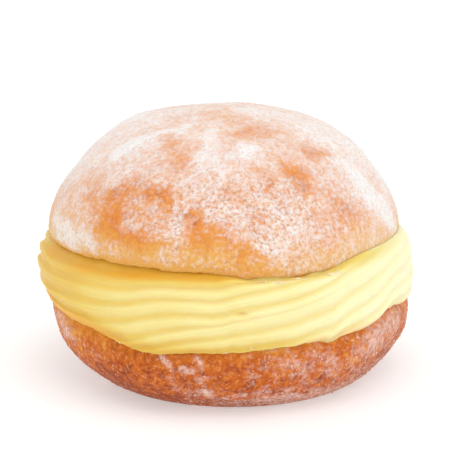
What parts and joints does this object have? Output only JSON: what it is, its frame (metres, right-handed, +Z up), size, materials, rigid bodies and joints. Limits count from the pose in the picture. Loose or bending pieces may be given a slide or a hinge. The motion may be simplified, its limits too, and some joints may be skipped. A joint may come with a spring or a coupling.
{
  "type": "cream-filled doughnut",
  "caption": "Round fried doughnut bun cut level into a base and a domed lid, dusted with icing sugar, with a thick layer of ridged piped custard cream bulging out between them.",
  "frame": {"origin": "on the table surface, under the middle of the doughnut's outline seen from above", "axes": "+Z straight up from the flat foot, -Y towards the front, where the lid is propped furthest open, +X to the right seen from the front"},
  "size_m": [0.0987, 0.0988, 0.0697],
  "materials": {
    "base_crust": "matte fried crust, deeper brown, with icing sugar and sugar crystals caught on it",
    "custard_cream": "soft satin piped custard cream",
    "lid_crust": "matte golden fried crust under a patchy dusting of icing sugar"
  },
  "bodies": {
    "root": {"bun_base": "base_crust", "cream_filling": "custard_cream", "bun_lid": "lid_crust"}
  },
  "joints": []
}
